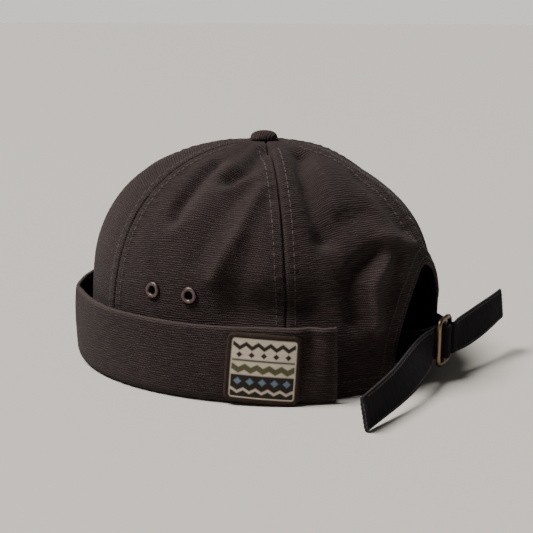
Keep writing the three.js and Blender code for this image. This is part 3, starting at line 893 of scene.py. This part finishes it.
def patch_material():
    """Bands on cream: a dark foot with a zigzag and diamonds, an olive zigzag, then a dark line,
    diamonds and zigzag; a cream line and a frayed brown border run round them; painted shade darkens
    the colour between the threads."""
    material, tree, shader = start_material("woven patch", 0.85, 0.02)
    shader.inputs["Specular IOR Level"].default_value = 0.1
    uv = cloth_place(tree)
    place = add(tree, "ShaderNodeSeparateXYZ", {0: uv}).outputs
    x, y = calc(tree, "SUBTRACT", place[0], 0.5), place[1]
    cream, olive, dark = (0.68, 0.595, 0.47, 1), (0.105, 0.105, 0.050, 1), (0.022, 0.0165, 0.014, 1)
    blue, brown, frayed = (0.17, 0.25, 0.33, 1), (0.020, 0.0105, 0.0075, 1), (0.085, 0.050, 0.036, 1)
    colour = cream
    for shape, tint in (
            (band(tree, y, 0.0, 0.41), dark), (zigzag(tree, x, y, 0.05, 0.135, 0.175), cream),
            (diamonds(tree, x, y, 0.315, 0.052), blue), (zigzag(tree, x, y, 0.05, 0.43, 0.52), olive),
            (band(tree, y, 0.605, 0.63), dark), (diamonds(tree, x, y, 0.695, 0.042), dark),
            (zigzag(tree, x, y, 0.06, 0.755, 0.82), dark), (mask(tree, marked(tree), 0.82), cream)):
        colour = blend(tree, shape, colour, tint)
    spread = add(tree, "ShaderNodeVectorMath", {0: uv, 3: PATCH_SIZE}, operation="SCALE").outputs[0]
    border = blend(tree, mask(tree, noise(tree, spread, 1.1, 3.0), 0.64, 0.08), brown, frayed)
    colour = blend(tree, mask(tree, marked(tree), 0.85, 0.02), colour, border)
    threads = use_group(tree, WEAVE, {"Place": spread, "Rib": 0.5, "Thread": 0.55})
    # Darker between the threads: painted shade.
    painted_thread_shade = calc(tree, "MULTIPLY_ADD", threads["Height"], 0.5, 0.5)
    colour = blend(tree, painted_thread_shade, (0.02, 0.016, 0.013, 1), colour)
    tree.links.new(colour, shader.inputs["Base Color"])
    set_bump(tree, shader, threads["Height"], 0.0002, 0.7)
    return material


PATCH_LOOK = patch_material()
print("patch material nodes:", len(PATCH_LOOK.node_tree.nodes))

# %% [markdown]
# ## The patch's shape
# A square grid is drawn in at its corners, tilted a little and laid on the cuff. Each point
# keeps how far it lies from the middle to the rim, and the material reads the border from that.

# %% Patch
def cuff_out(angle, z):
    """Distance from the crown's base to the cuff's outer face, found on the cuff's middle line."""
    _, plus, up, _ = SECTION[len(SECTION) // 2:].T
    return cuff_reach(angle) + np.interp(z, up, plus) + CUFF_CLOTH / 2 + cuff_wave(angle, z)


u, v = np.meshgrid(np.linspace(-1, 1, 90), np.linspace(-1, 1, 90))
half = PATCH_SIZE / 2
past = np.maximum(np.abs(u) * half - half + PATCH_CORNER, 0)
tall = half - PATCH_CORNER + np.sqrt(PATCH_CORNER ** 2 - past ** 2)
side, height = u * half, v * tall
tilt = np.radians(-PATCH_TILT)
spot_x = side * np.cos(tilt) - height * np.sin(tilt)
spot_z = side * np.sin(tilt) + height * np.cos(tilt)
per_mm = 6 / np.linalg.norm(plan(np.radians(PATCH_ANGLE + 3)) - plan(np.radians(PATCH_ANGLE - 3)))
patch_angle = np.radians(PATCH_ANGLE + spot_x * per_mm)
patch_z = PATCH_Z + spot_z
over = np.maximum(np.stack([np.abs(side), np.abs(height)]) - half + PATCH_CORNER, -half)
within = np.hypot(*np.maximum(over, 0)) + np.minimum(over.max(0), 0) - PATCH_CORNER
inset = 1 + within / half
edge = np.minimum(half - np.abs(side), tall - np.abs(height))
raised = 0.25 * smoothstep(inset, 0.84, 0.90) - 0.8 * (1 - smoothstep(edge, 0.0, 1.0))
seat = cuff_out(patch_angle, np.maximum(patch_z, 6))
front, back = (plan(patch_angle, seat + lift) for lift in (1.05 + raised, 0.1 + 0 * raised))
front[..., 2] = back[..., 2] = patch_z
points, faces = sheet(front, back)
cloth = np.stack([(side / half + 1) / 2, (height / half + 1) / 2], -1).reshape(-1, 2)
make_piece("woven_patch", points, faces, PATCH_LOOK, "patch", ["patch"],
           uv=np.concatenate([cloth, cloth]), wear=np.concatenate([inset.ravel(), inset.ravel()]))

# %% [markdown]
# ## Straps
# A strap is a flat tape that stands on edge. Its middle line starts inside the crown's corner,
# goes round a bar of the buckle and doubles back as a free end. A rounded flat section is
# swept along that line, so the thick edge of the tape shows. Small stitches follow the edges
# and the tip of each free end.

# %% Straps
TAPE_INSET, TAPE_STITCH = 1.4, {"pitch": 2.2, "length": 1.5, "half": 0.2}
SEWN_ANGLES = (149, 154, 159, 161.5)


def smooth_line(points, per=14):
    """A Catmull-Rom curve through the points, with steps set by the square root of the distance."""
    p = np.asarray(points, float)
    p = np.concatenate([2 * p[:1] - p[1:2], p, 2 * p[-1:] - p[-2:-1]])
    p0, p1, p2, p3 = p[:-3], p[1:-2], p[2:-1], p[3:]
    steps = np.sqrt(np.linalg.norm(np.diff(p, axis=0), axis=1, keepdims=True))
    d0, d1, d2 = steps[:-2], steps[1:-1], steps[2:]
    m1 = d1 * ((p1 - p0) / d0 - (p2 - p0) / (d0 + d1) + (p2 - p1) / d1)
    m2 = d1 * ((p2 - p1) / d1 - (p3 - p1) / (d1 + d2) + (p3 - p2) / d2)
    t = np.linspace(0, 1, per, endpoint=False)[None, :, None]
    p1, p2, m1, m2 = (a[:, None] for a in (p1, p2, m1, m2))
    curve = ((2 * t ** 3 - 3 * t ** 2 + 1) * p1 + (t ** 3 - 2 * t ** 2 + t) * m1
             + (3 * t ** 2 - 2 * t ** 3) * p2 + (t ** 3 - t ** 2) * m2)
    return np.concatenate([curve.reshape(-1, 3), p[-2:-1]])


def sewn(angle, side):
    """Middle of the strap inside a back panel, clear of the wall along both edges of the strap."""
    rise = rise_at(STRAP_Z + STRAP_WIDTH * np.array([-0.5, 0, 0.56]))
    angle = np.radians(side * angle) + 0 * rise
    p = smooth_crown(angle, rise)
    p = p + crown_out(angle, rise) * (fold_depth(p) - CLOTH - 0.5 - STRAP_CLOTH / 2)[..., None]
    nearest = p[np.argmin(np.linalg.norm(p[:, :2], axis=1))]
    return nearest * [1, 1, 0] + [0, 0, STRAP_Z + 0.5]


def at_buckle(x, y, z=STRAP_Z):
    """A place given from the buckle's middle bar."""
    return np.array([x, BUCKLE_Y + y, z])


def round_bar(bar, start, stop):
    """Seven places on a half turn round a bar."""
    turn = np.radians(np.linspace(start, stop, 7))
    return [at_buckle(bar + STRAP_WRAP * np.cos(t), STRAP_WRAP * np.sin(t)) for t in turn]


def strap(name, node, path, lean):
    """A flat rounded section swept along the path; the free end leans over, most in its middle."""
    line = smooth_line(path)
    run = unit(np.gradient(line, axis=0))
    out = unit(np.cross(run, [0, 0, 1.0]))
    wide = np.cross(out, run)
    u = np.linspace(-(len(path) - 5) / 4, 1, len(line))
    twist = np.radians(lean) * (smoothstep(u, 0.1, 0.5) - 0.75 * smoothstep(u, 0.6, 1.0))[:, None]
    out, wide = out * np.cos(twist) - wide * np.sin(twist), wide * np.cos(twist) + out * np.sin(twist)
    turn = full_turn(40)
    across = softened(np.cos(turn), 0.55) * STRAP_CLOTH / 2
    tall = softened(np.sin(turn), 0.16) * STRAP_WIDTH / 2
    rings = line[:, None] + across[None, :, None] * out[:, None] + tall[None, :, None] * wide[:, None]
    middle = rings.mean(1, keepdims=True)
    closing = middle + 0.02 * (rings - middle)
    rings = np.concatenate([closing[:1], rings, closing[-1:]])
    points, faces = tube(rings, False)
    walk = np.pad(walked(line), 1, mode="edge")
    cloth = np.stack(np.broadcast_arrays(tall[None], walk[:, None]), -1).reshape(-1, 2)
    edge = np.broadcast_to(smoothstep(np.abs(tall), 7.9, 8.6) * 0.8, rings.shape[:2]).copy()
    edge[[1, -2]] = 0.7
    make_piece(name, points, faces[:, ::-1], TAPE, "strap_cloth", [node], uv=cloth, wear=edge.ravel())
    free = u > 0.04
    return line[free], out[free], wide[free]


def tape_rows(line, out, wide):
    """Rows of stitches on both faces of a free end: along its two edges and across its tip."""
    rows = []
    tip = np.searchsorted(-np.linalg.norm(line - line[-1], axis=1), -TAPE_INSET)
    reach = STRAP_WIDTH / 2 - TAPE_INSET
    across = np.linspace(-reach, reach, 40)[:, None]
    for face in (-0.97, 0.97):
        skin, facing = line + face * STRAP_CLOTH / 2 * out, face * out
        for edge in (-reach, reach):
            rows.append(stitch_row(skin[:tip] + edge * wide[:tip], facing[:tip], **TAPE_STITCH))
        end = skin[tip] + across * wide[tip]
        rows.append(stitch_row(end, np.tile(facing[tip], (len(end), 1)), **TAPE_STITCH))
    return rows


left_end = strap("tape_left", "strap_left", [
    *(sewn(angle, 1) for angle in SEWN_ANGLES), at_buckle(16.5, -9), at_buckle(11.8, -5.9),
    at_buckle(8.3, -4.8), at_buckle(4, -4.1), *round_bar(0, 270, 90), at_buckle(2.6, 2.2),
    at_buckle(4.15, 0), at_buckle(5.7, -2.2), at_buckle(8.3, -2.9), at_buckle(14, -2.9, 20.2),
    at_buckle(30, -2.2, 17.8), at_buckle(52, -2.6, 13.6), at_buckle(89, -6.6, 8.8)], LEAN_LEFT)
right_end = strap("tape_right", "strap_right", [
    *(sewn(angle, -1) for angle in SEWN_ANGLES), at_buckle(-17, -8.6), at_buckle(-12, -4.2),
    *round_bar(-BUCKLE_PITCH, 270, 450), at_buckle(-12, 3.4, 20.8), at_buckle(-24, 5.8, 22),
    at_buckle(-42, 9.2, 24.6), at_buckle(-61.5, 11.9, 27.2)], LEAN_RIGHT)
rows = [*tape_rows(*left_end), *tape_rows(*right_end)]
make_piece("tape_stitches", *joined(*rows), TAPE_THREAD, "strap_cloth")

# %% [markdown]
# ## The buckle
# The slide is a cast frame with a middle bar. A round section is swept along a rounded
# rectangle, and a second one up the middle. The outer edges are marked as worn, where the
# dark finish has rubbed off the brass.

# %% Buckle
def swept(line, run, half):
    """Rings of a soft square section along a line, half being half its size."""
    side = unit(np.cross(run, [0, 1.0, 0]))
    turn = full_turn(24)[None, :, None]
    return (line[:, None] + half * softened(np.cos(turn), 0.75) * side[:, None]
            + half * softened(np.sin(turn), 0.75) * np.array([0, 1.0, 0]))


MIDDLE_BAR = 2.2
bar = BUCKLE_BAR / 2
reach_x, reach_z = BUCKLE_LENGTH / 2 - bar, BUCKLE_HEIGHT / 2 - bar
turn = full_turn(240)
loop_x, loop_z = reach_x * softened(np.cos(turn), 0.36), reach_z * softened(np.sin(turn), 0.30)
loop = np.stack([loop_x, 0 * turn, loop_z], -1)
run = unit(np.roll(loop, -1, 0) - np.roll(loop, 1, 0))
bar_line = np.linspace([0, 0, -reach_z], [0, 0, reach_z], 20)
bar_rings = swept(bar_line, np.tile([0, 0, 1.0], (20, 1)), MIDDLE_BAR / 2)
points, faces = joined(tube(swept(loop, run, bar), True), tube(bar_rings, False))
away_x, away_y, away_z = np.abs(points.T)
outer_edge = np.maximum(away_x - reach_x, away_z - reach_z)
wear = smoothstep(outer_edge, -0.1, 0.9) * 0.9 + 0.35 * smoothstep(away_y, 0.8, 1.2)
points = points + [0, BUCKLE_Y, STRAP_Z]
make_piece("slide", points, faces, BRASS, "buckle_metal", ["buckle"], wear=np.minimum(wear, 1))

# %% [markdown]
# ## Floor, light and camera
# The floor is plain and pale. A broad soft sun, high on the photograph's left, is the main
# light. A weak lamp fills the shade, and the sky is brightest at the horizon, so that the
# floor fades into it. The camera stands at the photograph's angle and distance.

# %% Stage
AZIMUTH, ELEVATION, CAMERA_AWAY = np.radians(118.172), np.radians(13.27), 0.59405
PICTURE_PIXELS, FOCAL_PIXELS, SENSOR = 533, 1067.6, 36
FLOOR_HALF = 20
level = np.cos(ELEVATION)
BACK = np.array([np.sin(AZIMUTH) * level, -np.cos(AZIMUTH) * level, np.sin(ELEVATION)])
RIGHT = np.array([np.cos(AZIMUTH), np.sin(AZIMUTH), 0])
TARGET = AXIS + RIGHT * 0.001322 + [0, 0, 0.048]


def aim(thing, where, at):
    """Puts a lamp or camera at a place, looking at a point."""
    back = unit(np.asarray(where) - at)
    right = unit(np.cross([0, 0, 1.0], back))
    matrix = np.eye(4)
    matrix[:3] = np.stack([right, np.cross(back, right), back, where], -1)
    thing.matrix_world = Matrix(matrix.tolist())


floor_mesh = bpy.data.meshes.new("floor")
corners = [(x * FLOOR_HALF, y * FLOOR_HALF, 0) for x, y in ((-1, -1), (1, -1), (1, 1), (-1, 1))]
floor_mesh.from_pydata(corners, [], [(0, 1, 2, 3)])
floor = new_object("floor", floor_mesh)
floor_look, _, floor_shader = start_material("pale floor", 0.7)
floor_shader.inputs["Base Color"].default_value = (0.39, 0.376, 0.354, 1)
floor_mesh.materials.append(floor_look)

world = bpy.data.worlds.new("studio")
world.use_nodes = True
sky = world.node_tree
view = add(sky, "ShaderNodeTexCoord").outputs["Generated"]
height = add(sky, "ShaderNodeSeparateXYZ", {0: view}).outputs[2]
background = sky.nodes["Background"].inputs
background["Color"].default_value = (1.0, 0.955, 0.895, 1)
sky.links.new(ranged(sky, height, 0.02, 0.24, 0.92, 0.08), background["Strength"])
bpy.context.scene.world = world

key = bpy.data.lights.new("key", "SUN")
key.energy, key.angle, key.color = 8.0, np.radians(24), (1.0, 0.965, 0.92)
aim(new_object("key", key), AXIS - RIGHT * 0.48 + BACK * 0.07 + [0, 0, 0.86], AXIS)
fill = bpy.data.lights.new("fill", "AREA")
fill.energy, fill.size, fill.color = 0.08, 0.8, (0.95, 0.97, 1.0)
aim(new_object("fill", fill), AXIS + RIGHT * 0.55 + BACK * 0.7 + [0, 0, 0.5], AXIS + [0, 0, 0.05])

lens = bpy.data.cameras.new("camera")
lens.sensor_width = SENSOR
lens.lens = FOCAL_PIXELS * SENSOR / PICTURE_PIXELS
lens.clip_start = 0.01
camera = new_object("camera", lens)
aim(camera, TARGET + BACK * CAMERA_AWAY, TARGET)
bpy.context.scene.camera = camera
print("camera at", np.round(TARGET + BACK * CAMERA_AWAY, 3))

# %% [markdown]
# ## Finish
# The last step brings the scene up to date.

# %% Finish
bpy.context.view_layer.update()
